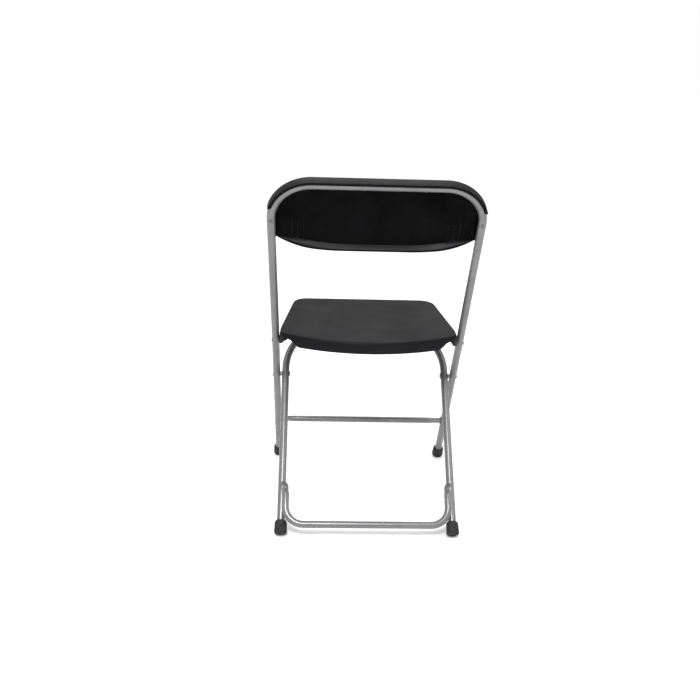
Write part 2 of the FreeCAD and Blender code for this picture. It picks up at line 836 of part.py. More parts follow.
def make_ear(label, side):
    # the lug that takes the hinge bush, rounded about the hinge axis
    half, root = "Sizes.ear_half_length", "Sizes.ear_root"
    foot, drop = "Sizes.ear_foot_half", "Sizes.ear_foot_drop"
    middle = side * (half_frame - tube_radius - size("ear_gap") - size("ear_thickness") / 2)
    corners = [(f"-{half}", root), (f"-{foot}", f"-{drop}"), (foot, f"-{drop}"), (half, root)]
    place = Placement(Vector(middle, 0, 0), Rotation())
    plate = padded_body(f"ear_plate_{label}", "YZ_Plane", corners, "Sizes.ear_thickness", place)
    start = Vector(middle - size("ear_thickness") / 2, 0, 0)
    disc = cylinder(f"ear_disc_{label}", "Sizes.ear_radius", "Sizes.ear_thickness", along(start, X_AXIS))
    return [plate, disc]


def make_tracks(label, side):
    # two ribs that ride on the bar's sleeve, and the stop in front of it that holds the chair open
    face = bar_in_seat.z + bar_reach
    top = size("seat_top") - size("seat_skin") / 2
    middle = side * size("track_middle")
    solids = []
    for name, shift in (("outer", size("track_half_gap")), ("inner", -size("track_half_gap"))):
        low = Vector(middle + side * shift - size("track_rib") / 2, -size("track_front"), face)
        sides = ("Sizes.track_rib", "Sizes.track_front + Sizes.track_rear", str(top - face))
        solids.append(box(f"track_{name}_{label}", low, sides))
    bottom = face - size("track_stop_depth")
    low = Vector(middle - size("track_half_gap"), bar_in_seat.y - bar_reach - size("track_stop"), bottom)
    sides = ("2*Sizes.track_half_gap", "Sizes.track_stop", str(top - bottom))
    solids.append(box(f"track_stop_{label}", low, sides))
    return solids


def make_seat_shell():
    outline = flat_wire("seat_outline", seat_corners())
    inner = inset_wire("seat_inset", outline, "seat_apron_wall")
    below = "Sizes.seat_apron - Sizes.seat_top"
    outside = extruded("seat_outside", outline, below, "Sizes.seat_top")
    inside = extruded("seat_inside", inner, below, "Sizes.seat_top - Sizes.seat_skin")
    solids = [cut("seat_tray", outside, inside)]
    cuts = []
    for label, side in SIDES.items():
        solids += make_ear(label, side)
        solids += make_tracks(label, side)
        arch_x = side * (half_seat - size("arch_inset"))
        start = Vector(arch_x, size("seat_corner_place") / 2, size("arch_height"))
        arch = along(start, Vector(0, 1, 0))
        cuts.append(cylinder(f"seat_arch_{label}", "Sizes.arch_radius", "Sizes.seat_rear_peak", arch))
    bore = "Sizes.rivet_radius + Sizes.bush_wall + 2*Sizes.pin_clearance"
    ear_drill_start = Vector(-half_frame, 0, 0)
    cuts.append(cylinder("ear_bore", bore, "Sizes.frame_spread", along(ear_drill_start, X_AXIS)))
    seat = cut("seat_drilled", fuse("seat_solid", solids), fuse("seat_cuts", cuts))
    seat.Placement = seat_frame
    name_node("seat_shell", seat)


# Build, check and export

back_outside = make_back_frame_tube()
make_front_stretcher(back_outside)
rear_outside = make_rear_leg_tube()
make_rear_stretcher(rear_outside)
make_bar_sleeves()
make_feet()
for label, side in SIDES.items():
    make_pivot(label, side)
    make_seat_hinge(label, side)
make_backrest_screws()
make_backrest_shell()
make_seat_shell()
doc.recompute()

failed = [item.Name for item in doc.Objects if "Invalid" in item.State or "Error" in item.State]
if failed:
    raise RuntimeError("these objects failed: " + ", ".join(failed))
for label, item in nodes.items():
    if item.Shape.isNull() or not item.Shape.isValid() or not item.Shape.Solids:
        raise RuntimeError(label + " has no valid solid")

os.makedirs("parts", exist_ok=True)
whole = FreeCAD.BoundBox()
for label, item in nodes.items():
    item.Shape.exportStep(f"parts/{label}.step")
    whole.add(item.Shape.BoundBox)
    print(f"{label}: {len(item.Shape.Solids)} solid(s), {item.Shape.Volume / 1000:.1f} cm3")
print("overall", whole)
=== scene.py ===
import json
import math

import bmesh
import bpy
from mathutils import Matrix, Vector


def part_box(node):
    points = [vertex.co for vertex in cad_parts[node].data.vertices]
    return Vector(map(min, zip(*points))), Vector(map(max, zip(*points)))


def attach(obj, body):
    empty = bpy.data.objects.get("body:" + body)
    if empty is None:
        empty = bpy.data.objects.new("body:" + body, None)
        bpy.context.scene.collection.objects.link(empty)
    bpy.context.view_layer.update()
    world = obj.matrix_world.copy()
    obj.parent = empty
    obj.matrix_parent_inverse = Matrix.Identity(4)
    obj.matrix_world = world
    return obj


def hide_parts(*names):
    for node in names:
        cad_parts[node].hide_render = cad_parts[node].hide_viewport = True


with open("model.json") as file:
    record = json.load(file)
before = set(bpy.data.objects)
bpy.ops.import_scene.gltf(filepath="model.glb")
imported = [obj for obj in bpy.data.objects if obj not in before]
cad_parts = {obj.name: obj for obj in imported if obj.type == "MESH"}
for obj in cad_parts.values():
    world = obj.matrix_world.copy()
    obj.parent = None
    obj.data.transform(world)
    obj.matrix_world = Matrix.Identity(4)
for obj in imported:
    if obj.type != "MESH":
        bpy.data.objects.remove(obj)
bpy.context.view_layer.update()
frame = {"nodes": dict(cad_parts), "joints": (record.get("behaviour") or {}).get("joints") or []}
print("frame loaded:", len(frame["nodes"]), "nodes")

# Lengths in the dictionaries are millimetres and angles are degrees; meshes are made in metres.
mm = 0.001
xAxis = Vector((1, 0, 0))


def leaning(degrees):
    # a direction that rises towards the rear at this lean from the vertical
    lean = math.radians(degrees)
    return Vector((0, math.sin(lean), math.cos(lean)))


chair = {
    "frontLean": 29.6,
    "backLean": 25.6,
    "rearLean": -44.2,
    "tubeRadius": 9.0,
    "halfFrame": 218.0,
    "halfTop": 222.5,
    "halfRear": 196.25,
    "bendAboveHinge": 9.9,
    "backLength": 419.3,
    "barDistance": 140.0,
    "frontLegEnd": 322.2,  # tube ends, measured down the legs from the pivot
    "rearLegEnd": 388.95,
}

jointPlaces = {joint["name"]: Vector(joint["pos_m"]) / mm for joint in frame["joints"]}
pivot = jointPlaces["rear_leg_fold"]
hinge = jointPlaces["seat_fold"]
frontUp, backUp, rearUp = (leaning(chair[key]) for key in ("frontLean", "backLean", "rearLean"))
backFront = Vector((0, -backUp.z, backUp.y))
rearBehind = Vector((0, rearUp.z, -rearUp.y))
bend = hinge + frontUp * chair["bendAboveHinge"]
bar = pivot + rearUp * chair["barDistance"]


def across(point, x):
    return Vector((x, point.y, point.z))


def backPlace(x, up, front):
    # in the backrest's plane: across, up from the bend, and towards the sitter
    return bend + xAxis * x + backUp * up + backFront * front


def rearPlace(x, up, behind=0.0):
    return pivot + xAxis * x + rearUp * up + rearBehind * behind


def ramp(value, start, end):
    # 0 before start, 1 after end and a smooth rise between them
    part = min(max((value - start) / (end - start), 0.0), 1.0)
    return part * part * (3 - 2 * part)


def blend(low, high, part):
    return low + (high - low) * part


# Helpers for node trees and meshes


def addNode(tree, kind, inputs, **settings):
    node = tree.nodes.new(kind)
    for key, value in settings.items():
        setattr(node, key, value)
    for key, value in inputs.items():
        if isinstance(value, bpy.types.NodeSocket):
            tree.links.new(value, node.inputs[key])
        else:
            node.inputs[key].default_value = value
    return node


def mathNode(tree, operation, first, second=0.5):
    return addNode(tree, "ShaderNodeMath", {0: first, 1: second}, operation=operation).outputs[0]


def vectorNode(tree, x, y, z):
    return addNode(tree, "ShaderNodeCombineXYZ", {"X": x, "Y": y, "Z": z}).outputs[0]


def namedVector(tree, label):
    kind = "GeometryNodeInputNamedAttribute"
    return addNode(tree, kind, {"Name": label}, data_type="FLOAT_VECTOR").outputs[0]


def addObject(name, data):
    added = bpy.data.objects.new(name, data)
    bpy.context.scene.collection.objects.link(added)
    return added


def startTree(name, sizes):
    # a tree with a named input for each size, and one for the material it ends with
    tree = bpy.data.node_groups.new(name, "GeometryNodeTree")
    tree.is_modifier = True
    tree.interface.new_socket("Geometry", in_out="INPUT", socket_type="NodeSocketGeometry")
    for label, value in sizes.items():
        kind = "NodeSocketInt" if isinstance(value, int) else "NodeSocketFloat"
        tree.interface.new_socket(label, in_out="INPUT", socket_type=kind).default_value = value
    tree.interface.new_socket("Finish", in_out="INPUT", socket_type="NodeSocketMaterial")
    tree.interface.new_socket("Geometry", in_out="OUTPUT", socket_type="NodeSocketGeometry")
    return tree, tree.nodes.new("NodeGroupInput").outputs


def endTree(tree, geometry, finish):
    smooth = addNode(tree, "GeometryNodeSetShadeSmooth", {"Geometry": geometry})
    real = addNode(tree, "GeometryNodeRealizeInstances", {"Geometry": smooth.outputs[0]})
    painted = addNode(tree, "GeometryNodeSetMaterial", {"Geometry": real.outputs[0], "Material": finish})
    addNode(tree, "NodeGroupOutput", {"Geometry": painted.outputs[0]})


def placeCopies(tree, given, points, shape, rotation, scale):
    copies = {"Points": points, "Instance": shape.outputs[0], "Rotation": rotation, "Scale": scale}
    placed = addNode(tree, "GeometryNodeInstanceOnPoints", copies)
    endTree(tree, placed.outputs[0], given["Finish"])


def growMesh(name, mesh, tree, values):
    # runs a tree on a mesh and keeps the result as a plain mesh
    seed = addObject(name + "Seed", mesh)
    modifier = seed.modifiers.new("grow", "NODES")
    modifier.node_group = tree
    for item in tree.interface.items_tree:
        if item.item_type == "SOCKET" and item.in_out == "INPUT" and item.name in values:
            modifier[item.identifier] = values[item.name]
    graph = bpy.context.evaluated_depsgraph_get()
    grown = bpy.data.meshes.new_from_object(seed.evaluated_get(graph))
    seed.modifiers.remove(modifier)
    bpy.data.objects.remove(seed)
    grown.name = name
    return grown


def newMesh(name, points, faces, edges=()):
    mesh = bpy.data.meshes.new(name)
    mesh.from_pydata([point * mm for point in points], list(edges), faces)
    return mesh


def tidyMesh(mesh, sharpAngle=38.0):
    # outward normals, no doubled points, smooth faces with crisp corners
    work = bmesh.new()
    work.from_mesh(mesh)
    bmesh.ops.remove_doubles(work, verts=work.verts, dist=2e-6)
    bmesh.ops.dissolve_degenerate(work, edges=work.edges, dist=1e-6)
    bmesh.ops.recalc_face_normals(work, faces=work.faces)
    for face in work.faces:
        face.smooth = True
    work.to_mesh(mesh)
    work.free()
    mesh.set_sharp_from_angle(angle=math.radians(sharpAngle))
    return mesh


class Skin:
    # gathers closed bodies made of rings of points into one mesh
    def __init__(self):
        self.points = []
        self.faces = []

    def addRings(self, rings):
        first = len(self.points)
        count = len(rings[0])
        for ring in rings:
            self.points += ring
        for row in range(len(rings) - 1):
            for step in range(count):
                onward = (step + 1) % count
                low, high = first + row * count, first + (row + 1) * count
                self.faces.append((low + step, low + onward, high + onward, high + step))
        for ring, base in ((rings[0], first), (rings[-1], first + (len(rings) - 1) * count)):
            middle = len(self.points)
            self.points.append(sum(ring, Vector()) / count)
            for step in range(count):
                self.faces.append((middle, base + step, base + (step + 1) % count))

    def place(self, name, body, slot, replaced, finish):
        mesh = tidyMesh(newMesh(name, self.points, self.faces))
        placePiece(name, mesh, body, replaced, materials[finish])
        return mesh


def placePiece(name, mesh, body, replaced, material=None):
    if material:
        mesh.materials.clear()
        mesh.materials.append(material)
    piece = addObject(name, mesh)
    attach(piece, body)
    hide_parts(*replaced)
    print("made", name, len(mesh.polygons), "faces")


# Finishes

finishes = {
    "silverPaint": {
        "light": (0.188, 0.188, 0.191),
        "dark": (0.153, 0.153, 0.156),
        "metallic": 0.45,
        "rough": (0.23, 0.32),
        "patchScale": 16.0,
        "peelScale": 1100.0,  # the fine orange-peel of sprayed paint
        "peelStrength": 0.10,
        "flake": 0.05,
    },
    "weldPaint": {
        "light": (0.19, 0.19, 0.195),
        "dark": (0.09, 0.09, 0.09),
        "metallic": 0.35,
        "rough": (0.45, 0.62),
        "patchScale": 260.0,
        "peelScale": 1500.0,
        "peelStrength": 0.30,
        "flake": 0.05,
    },
    "rivetZinc": {
        "light": (0.26, 0.26, 0.27),
        "dark": (0.17, 0.17, 0.18),
        "metallic": 0.85,
        "rough": (0.28, 0.44),
        "patchScale": 220.0,
        "peelScale": 2600.0,
        "peelStrength": 0.08,
        "flake": 0.03,
    },
    "screwZinc": {
        "light": (0.20, 0.20, 0.205),
        "dark": (0.13, 0.13, 0.135),
        "metallic": 0.8,
        "rough": (0.32, 0.50),
        "patchScale": 260.0,
        "peelScale": 2600.0,
        "peelStrength": 0.08,
        "flake": 0.03,
    },
    "seatPlastic": {
        "light": (0.0072, 0.0070, 0.0084),
        "dark": (0.0050, 0.0048, 0.0060),
        "rough": (0.40, 0.52),
        "patchScale": 9.0,
        "grainScale": 950.0,  # moulded leather-like grain
        "grainStrength": 0.35,
        "gloss": 0.08,
        "scuff": 0.002,
    },
    # black plastic like the seat's, made darker than it as painted shade for the backrest, which faces away
    # from the light
    "backPlasticShaded": {
        "light": (0.0042, 0.0040, 0.0052),
        "dark": (0.0024, 0.0023, 0.0031),
        "rough": (0.36, 0.48),
        "patchScale": 9.0,
        "grainScale": 950.0,
        "grainStrength": 0.30,
        "gloss": 0.15,
        "scuff": 0.0016,
    },
    "backRearShade": {  # the panel's rear-facing faces: darker as painted shade, and rougher
        "light": (0.0030, 0.0029, 0.0034),
        "dark": (0.0010, 0.0010, 0.0013),
        "rough": (0.55, 0.68),
        "patchScale": 12.0,
        "grainScale": 1200.0,
        "grainStrength": 0.35,
        "gloss": 0.03,
        "scuff": 0.0012,
    },
    "ribHighlightPaint": {  # the whole ribs drawn lighter than the panel: a painted highlight standing in for light caught on the rib crowns; the faint scuff threads are wear
        "light": (0.016, 0.016, 0.018),
        "dark": (0.008, 0.008, 0.0095),
        "rough": (0.40, 0.55),
        "patchScale": 40.0,
        "grainScale": 950.0,
        "grainStrength": 0.2,
        "gloss": 0.25,
        "scuff": 0.006,
    },
    "footRubber": {
        "light": (0.015, 0.015, 0.016),
        "dark": (0.006, 0.006, 0.0065),
        "rough": (0.60, 0.80),
        "patchScale": 60.0,
        "grainScale": 1600.0,
        "grainStrength": 0.30,
        "gloss": 0.35,
        "scuff": 0.03,
    },
    "bushNylon": {
        "light": (0.075, 0.075, 0.078),
        "dark": (0.055, 0.055, 0.058),
        "rough": (0.38, 0.50),
        "patchScale": 80.0,
        "grainScale": 2200.0,
        "grainStrength": 0.12,
        "gloss": 0.35,
        "scuff": 0.02,
    },
}


def startFinish(name):
    material = bpy.data.materials.new(name)
    material.use_nodes = True
    tree = material.node_tree
    surface = tree.nodes["Principled BSDF"]
    place = addNode(tree, "ShaderNodeTexCoord", {}).outputs["Object"]
    return material, tree, surface, place


def mapRange(tree, value, low, high, toLow=0.0, toHigh=1.0):
    ends = {"Value": value, "From Min": low, "From Max": high, "To Min": toLow, "To Max": toHigh}
    return addNode(tree, "ShaderNodeMapRange", ends).outputs[0]


def wireSurface(tree, surface, colour, rough, height, strength):
    bumps = addNode(tree, "ShaderNodeBump", {"Height": height, "Strength": strength, "Distance": 0.0003})
    for label, socket in (("Base Color", colour), ("Roughness", rough), ("Normal", bumps.outputs[0])):
        tree.links.new(socket, surface.inputs[label])


def patchyColour(tree, place, look):
    # slow drift between two tones, as spraying and moulding leave it
    patches = addNode(
        tree, "ShaderNodeTexNoise",
        {"Vector": place, "Scale": look["patchScale"], "Detail": 4.0, "Roughness": 0.55},
    )
    spread = mapRange(tree, patches.outputs[0], 0.35, 0.65)
    ends = {"Factor": spread, "A": (*look["dark"], 1.0), "B": (*look["light"], 1.0)}
    tones = addNode(tree, "ShaderNodeMix", ends, data_type="RGBA")
    smoothest, roughest = look["rough"]
    return tones.outputs["Result"], mapRange(tree, patches.outputs[0], 0.3, 0.7, roughest, smoothest)


def makePaint(name):
    look = finishes[name]
    material, tree, surface, place = startFinish(name)
    tones, rough = patchyColour(tree, place, look)
    flakes = addNode(tree, "ShaderNodeTexVoronoi", {"Vector": place, "Scale": 5200.0})
    flake = look["flake"]
    sparkle = mapRange(tree, flakes.outputs["Distance"], 0.0, 1.0, 1 - flake, 1 + flake)
    speckled = addNode(tree, "ShaderNodeVectorMath", {0: tones, "Scale": sparkle}, operation="SCALE")
    peel = addNode(tree, "ShaderNodeTexNoise", {"Vector": place, "Scale": look["peelScale"], "Detail": 2.0})
    wireSurface(tree, surface, speckled.outputs[0], rough, peel.outputs[0], look["peelStrength"])
    surface.inputs["Metallic"].default_value = look["metallic"]
    return material


def makePlastic(name):
    look = finishes[name]
    material, tree, surface, place = startFinish(name)
    tones, rough = patchyColour(tree, place, look)
    # faint scuffs: thin bright threads where the noise crosses its middle value
    threads = addNode(
        tree, "ShaderNodeTexNoise",
        {"Vector": place, "Scale": 26.0, "Detail": 6.0, "Roughness": 0.7, "Distortion": 1.5},
    )
    away = mathNode(tree, "ABSOLUTE", mathNode(tree, "SUBTRACT", threads.outputs[0], 0.5))
    scuffs = mapRange(tree, away, 0.0, 0.012, look["scuff"], 0.0)
    scuffed = addNode(tree, "ShaderNodeVectorMath", {0: tones, 1: scuffs}, operation="ADD")
    grain = addNode(tree, "ShaderNodeTexVoronoi", {"Vector": place, "Scale": look["grainScale"]},
                    feature="SMOOTH_F1")
    height = grain.outputs["Distance"]
    wireSurface(tree, surface, scuffed.outputs[0], rough, height, look["grainStrength"])
    surface.inputs["Specular IOR Level"].default_value = look["gloss"]
    return material


materials = {name: makePaint(name) for name in ("silverPaint", "weldPaint", "rivetZinc", "screwZinc")}
for name in ("seatPlastic", "backPlasticShaded", "backRearShade", "ribHighlightPaint", "footRubber", "bushNylon"):
    materials[name] = makePlastic(name)
print("finishes ready:", len(materials))


# Tubes: a bent path with a radius at each corner, swept by a round section

tubes = {
    "roundSteps": 48,
    "bendSteps": 28,
    "sideBend": 160.0,  # the gentle bend above the seat hinge
    "topBend": 85.0,
    "rearBend": 125.0,
}


def makeTubeTree():
    sizes = {"Tube Radius": 0.009, "Round Steps": 32, "Bend Steps": 16}
    tree, given = startTree("bentTube", sizes)
    path = addNode(tree, "GeometryNodeMeshToCurve", {"Mesh": given["Geometry"]})
    corner = addNode(tree, "GeometryNodeInputNamedAttribute", {"Name": "bendRadius"}, data_type="FLOAT")
    bends = {"Curve": path.outputs[0], "Count": given["Bend Steps"], "Radius": corner.outputs[0]}
    bent = addNode(tree, "GeometryNodeFilletCurve", bends, mode="POLY")
    circle = {"Resolution": given["Round Steps"], "Radius": given["Tube Radius"]}
    section = addNode(tree, "GeometryNodeCurvePrimitiveCircle", circle, mode="RADIUS")
    sweep = {"Curve": bent.outputs[0], "Profile Curve": section.outputs[0], "Fill Caps": True}
    swept = addNode(tree, "GeometryNodeCurveToMesh", sweep)
    endTree(tree, swept.outputs[0], given["Finish"])
    return tree


def pathMesh(name, points, radii):
    mesh = newMesh(name, points, [], [(step, step + 1) for step in range(len(points) - 1)])
    corner = mesh.attributes.new("bendRadius", "FLOAT", "POINT")
    corner.data.foreach_set("value", [radius * mm for radius in radii])
    return mesh


def makeTube(name, body, node, points, radii):
    values = {
        "Tube Radius": chair["tubeRadius"] * mm,
        "Round Steps": tubes["roundSteps"],
        "Bend Steps": tubes["bendSteps"],
        "Finish": materials["silverPaint"],
    }
    mesh = growMesh(name, pathMesh(name + "Path", points, radii), tubeTree, values)
    placePiece(name, tidyMesh(mesh), body, [node])


def bothSides(half):
    # the same path down the other side, then split into places and radii
    return zip(*half, *[(across(point, -point.x), radius) for point, radius in reversed(half)])


tubeTree = makeTubeTree()
half = [
    (across(pivot - frontUp * chair["frontLegEnd"], chair["halfFrame"]), 0.0),
    (across(bend, chair["halfFrame"]), tubes["sideBend"]),
    (backPlace(chair["halfTop"], chair["backLength"], 0.0), tubes["topBend"]),
]
makeTube("frameTube", "back_frame", "back_frame_tube", *bothSides(half))
half = [
    (rearPlace(chair["halfRear"], -chair["rearLegEnd"]), 0.0),
    (rearPlace(chair["halfRear"], chair["barDistance"]), tubes["rearBend"]),
]
makeTube("rearTube", "rear_legs", "rear_leg_tube", *bothSides(half))


# Stretchers: round tube, pressed flat where it meets the legs

stretchers = {
    "steps": 40,
    "frontRadius": 7.5,
    "frontDrop": 180.0,
    "rearRadius": 8.0,
    "rearAboveEnd": 9.4,
    "rearRise": 70.0,
    "rearCorner": 42.0,
    "rearAngle": 56.0,
    "crimpLength": 30.0,
    "crimpRun": 13.0,  # length over which round turns into flat
    "crimpHalfWidth": 9.5,
    "crimpHalfThick": 4.0,
    "crimpSeat": 1.5,
    "crimpTaper": 0.72,  # how far the rear ends are pressed down to the leg
}


def ovalRing(middle, first, second, thin, thinRadius, wide, wideRadius):
    ring = []
    for step in range(stretchers["steps"]):
        turn = 2 * math.pi * step / stretchers["steps"]
        way = first * math.cos(turn) + second * math.sin(turn)
        ring.append(middle + thin * way.dot(thin) * thinRadius + wide * way.dot(wide) * wideRadius)
    return ring


def crimpRings(start, onward, shift, first, second, thin, wide, radius, taper=0.0):
    # from the round tube to the flat tongue, easing over to the leg
    rings = []
    toLeg = shift.normalized()
    for step in range(13):
        along = stretchers["crimpLength"] * step / 12
        flat = ramp(along, 0.0, stretchers["crimpRun"])
        pressed = taper * ramp(along, 19.0, 31.0)
        thinRadius = blend(radius, stretchers["crimpHalfThick"], flat) * (1 - pressed)
        wideRadius = blend(radius, stretchers["crimpHalfWidth"], flat) * (1 - 0.3 * pressed)
        middle = start + onward * along + shift * flat
        middle += toLeg * stretchers["crimpHalfThick"] * pressed
        rings.append(ovalRing(middle, first, second, thin, thinRadius, wide, wideRadius))
    return rings


def flatWays(side):
    # away from the rear leg, and along the stretcher's flat end
    angle = math.radians(stretchers["rearAngle"])
    fromLeg = xAxis * -side * math.cos(angle) + rearBehind * math.sin(angle)
    return fromLeg, fromLeg.cross(rearUp)


def makeFrontStretcher():
    middle = pivot - frontUp * stretchers["frontDrop"]
    normal = xAxis.cross(frontUp)
    inner = chair["halfFrame"] - chair["tubeRadius"] + stretchers["crimpSeat"] - stretchers["crimpLength"]
    ends = []
    for side in (-1, 1):
        start = across(middle, side * inner)
        ends.append(
            crimpRings(start, xAxis * side, Vector(), frontUp, normal, normal, frontUp,
                       stretchers["frontRadius"])
        )
    skin = Skin()
    skin.addRings(ends[0][::-1] + ends[1])
    skin.place("frontStretcher", "back_frame", "frame_paint", ["front_stretcher"], "silverPaint")


def makeRearStretcher():
    radius = stretchers["rearRadius"]
    angle = math.radians(stretchers["rearAngle"])
    apart = chair["tubeRadius"] + radius + 0.1
    behind = apart * math.sin(angle)
    x = chair["halfRear"] - apart * math.cos(angle)
    low = stretchers["rearAboveEnd"] - chair["rearLegEnd"]
    corner = stretchers["rearCorner"]
    pressed = apart - chair["tubeRadius"] - stretchers["crimpHalfThick"] - 0.1
    halves = []
    for side in (1, -1):
        rings = []
        fromLeg, longWay = flatWays(side)
        rings += crimpRings(rearPlace(side * x, low + stretchers["rearRise"], behind), rearUp,
                            fromLeg * -pressed, rearBehind, rearUp.cross(rearBehind), fromLeg, longWay,
                            radius, stretchers["crimpTaper"])[::-1]
        for step in range(21):
            turn = math.pi / 2 * step / 20
            middle = rearPlace(side * (x - corner + corner * math.cos(turn)),
                               low + corner - corner * math.sin(turn), behind)
            heading = -rearUp * math.cos(turn) - xAxis * side * math.sin(turn)
            second = rearBehind.cross(heading)
            rings.append(ovalRing(middle, rearBehind, second, rearBehind, radius, second, radius))
        halves.append(rings)
    # the second half runs the other way round, so its rings are turned to match
    other = [[ring[-step % len(ring)] for step in range(len(ring))] for ring in halves[1]]
    skin = Skin()
    skin.addRings(halves[0] + other[::-1])
    skin.place("rearStretcher", "rear_legs", "frame_paint", ["rear_stretcher"], "silverPaint")


makeFrontStretcher()
makeRearStretcher()


# Weld beads: overlapping ripples laid along a path

welds = {
    "beadRadius": 2.3,
    "rippleStep": 1.5,
    "rippleLength": 0.62,  # of the bead's radius
    "frontMargin": 0.9,
    "rearHalfRun": 8.0,
}


def makeWeldTree():
    sizes = {"Bead Radius": 0.002, "Ripple Step": 0.0015, "Ripple Length": 0.6, "Uneven": 0.12}
    tree, given = startTree("rippledWeld", sizes)
    path = addNode(tree, "GeometryNodeMeshToCurve", {"Mesh": given["Geometry"]})
    spacing = {"Curve": path.outputs[0], "Length": given["Ripple Step"]}
    places = addNode(tree, "GeometryNodeCurveToPoints", spacing, mode="LENGTH")
    ball = {"Segments": 20, "Rings": 12, "Radius": given["Bead Radius"]}
    ripple = addNode(tree, "GeometryNodeMeshUVSphere", ball)
    squash = vectorNode(tree, 1.0, 1.0, given["Ripple Length"])
    lens = addNode(tree, "GeometryNodeTransform", {"Geometry": ripple.outputs[0], "Scale": squash})
    least = mathNode(tree, "SUBTRACT", 1.0, given["Uneven"])
    uneven = addNode(tree, "FunctionNodeRandomValue", {"Min": least, "Max": 1.0, "Seed": 7},
                     data_type="FLOAT")
    turns, points = places.outputs["Rotation"], places.outputs["Points"]
    placeCopies(tree, given, points, lens, turns, uneven.outputs["Value"])
    return tree


weldTree = makeWeldTree()


def makeWelds(name, body, node, paths):
    points, edges = [], []
    for path in paths:
        edges += [(len(points) + step, len(points) + step + 1) for step in range(len(path) - 1)]
        points += path
    values = {
        "Bead Radius": welds["beadRadius"] * mm,
        "Ripple Step": welds["rippleStep"] * mm,
        "Ripple Length": welds["rippleLength"],
        "Finish": materials["weldPaint"],
    }
    mesh = growMesh(name, newMesh(name + "Path", points, [], edges), weldTree, values)
    placePiece(name, tidyMesh(mesh, 60.0), body, [node])


def frontWeldPath(side):
    # round the flat end of the stretcher, on the surface of the leg
    middle = pivot - frontUp * stretchers["frontDrop"]
    normal = xAxis.cross(frontUp)
    path = []
    for step in range(49):
        turn = 2 * math.pi * step / 48
        out = math.sin(turn) * (stretchers["crimpHalfThick"] + welds["frontMargin"])
        up = math.cos(turn) * (stretchers["crimpHalfWidth"] + welds["frontMargin"])
        x = chair["halfFrame"] - math.sqrt(chair["tubeRadius"] ** 2 - out ** 2)
        path.append(across(middle + frontUp * up + normal * out, side * x))
    return path


def rearWeldPath(side):
    # across the top of the stretcher's flat end, where it lies against the leg
    fromLeg, longWay = flatWays(side)
    high = stretchers["rearAboveEnd"] - chair["rearLegEnd"] + stretchers["rearRise"]
    high += stretchers["crimpLength"]
    path = []
    for step in range(17):
        part = -1 + step / 8
        along = part * welds["rearHalfRun"]
        out = math.sqrt(chair["tubeRadius"] ** 2 - (along * 0.8) ** 2)
        point = rearPlace(side * chair["halfRear"], high - 7.0 * part ** 4)
        path.append(point + fromLeg * out + longWay * along * 0.8)
    return path


makeWelds("frontWelds", "back_frame", "front_weld_beads", [frontWeldPath(side) for side in (1, -1)])
makeWelds("rearWelds", "rear_legs", "rear_weld_beads", [rearWeldPath(side) for side in (1, -1)])


# Rivets and screws: one head each, set on points that carry their outward direction

fasteners = {
    "rivetHead": 6.6,
    "rivetHeight": 2.4,
    "rivetRim": 1.0,
    "rivetShank": 3.2,
    "outerHead": (0.8, 0.8, 0.42),  # the outer heads are pressed nearly flush
    "screwHead": 4.4,
    "screwHeight": 2.0,
    "screwRim": 0.8,
    "screwShank": 2.1,
    "screwUp": 334.3,
    "screwAcross": 221.59,
    "recessLength": 4.8,
    "recessWidth": 1.1,
    "recessDepth": 1.3,
    "cutterHeight": 4.0,
    "screwLength": 21.0,
}


def makeHeadTree(name, crossed):
    sizes = {"Head Radius": 0.006, "Head Height": 0.002, "Rim": 0.001, "Shank Radius": 0.003,
             "Shank Length": 0.02}
    if crossed:
        sizes |= {"Recess Length": 0.005, "Recess Width": 0.001, "Recess Depth": 0.001}
    tree, given = startTree(name, sizes)
    radius, height, rim = given["Head Radius"], given["Head Height"], given["Rim"]

    def lifted(shape, up, **others):
        moved = {"Geometry": shape.outputs[0], "Translation": vectorNode(tree, 0.0, 0.0, up)}
        return addNode(tree, "GeometryNodeTransform", moved | others)

    squash = mathNode(tree, "DIVIDE", mathNode(tree, "SUBTRACT", height, rim), radius)
    scale = vectorNode(tree, 1.0, 1.0, squash)
    ball = addNode(tree, "GeometryNodeMeshUVSphere", {"Segments": 48, "Rings": 24, "Radius": radius})
    dome = lifted(ball, rim, Scale=scale)
    disc = addNode(tree, "GeometryNodeMeshCylinder", {"Vertices": 48, "Radius": radius, "Depth": rim})
    edge = lifted(disc, mathNode(tree, "MULTIPLY", rim, 0.5))
    head = addNode(tree, "GeometryNodeMeshBoolean", {}, operation="UNION")
    for part in (dome, edge):
        tree.links.new(part.outputs[0], head.inputs["Mesh"])
    top = head.outputs["Mesh"]
    if crossed:
        # two crossed slots sunk into the crown
        cutter = fasteners["cutterHeight"] * mm
        floor = mathNode(tree, "SUBTRACT", height, given["Recess Depth"])
        middle = mathNode(tree, "ADD", floor, cutter / 2)
        sunk = addNode(tree, "GeometryNodeMeshBoolean", {"Mesh 1": top}, operation="DIFFERENCE")
        for long, short in (("Recess Length", "Recess Width"), ("Recess Width", "Recess Length")):
            sides = vectorNode(tree, given[long], given[short], cutter)
            slot = lifted(addNode(tree, "GeometryNodeMeshCube", {"Size": sides}), middle)
            tree.links.new(slot.outputs[0], sunk.inputs["Mesh 2"])
        top = sunk.outputs["Mesh"]
    length = given["Shank Length"]
    rod = {"Vertices": 32, "Radius": given["Shank Radius"], "Depth": length}
    rod = addNode(tree, "GeometryNodeMeshCylinder", rod)
    shank = lifted(rod, mathNode(tree, "MULTIPLY", length, -0.5))
    whole = addNode(tree, "GeometryNodeJoinGeometry", {})
    tree.links.new(top, whole.inputs[0])
    tree.links.new(shank.outputs[0], whole.inputs[0])
    outward = namedVector(tree, "outward")
    turn = addNode(tree, "FunctionNodeAlignRotationToVector", {"Vector": outward}, axis="Z")
    size = namedVector(tree, "headSize")
    placeCopies(tree, given, given["Geometry"], whole, turn.outputs[0], size)
    return tree


rivetTree = makeHeadTree("rivetHeads", False)
screwTree = makeHeadTree("screwHeads", True)


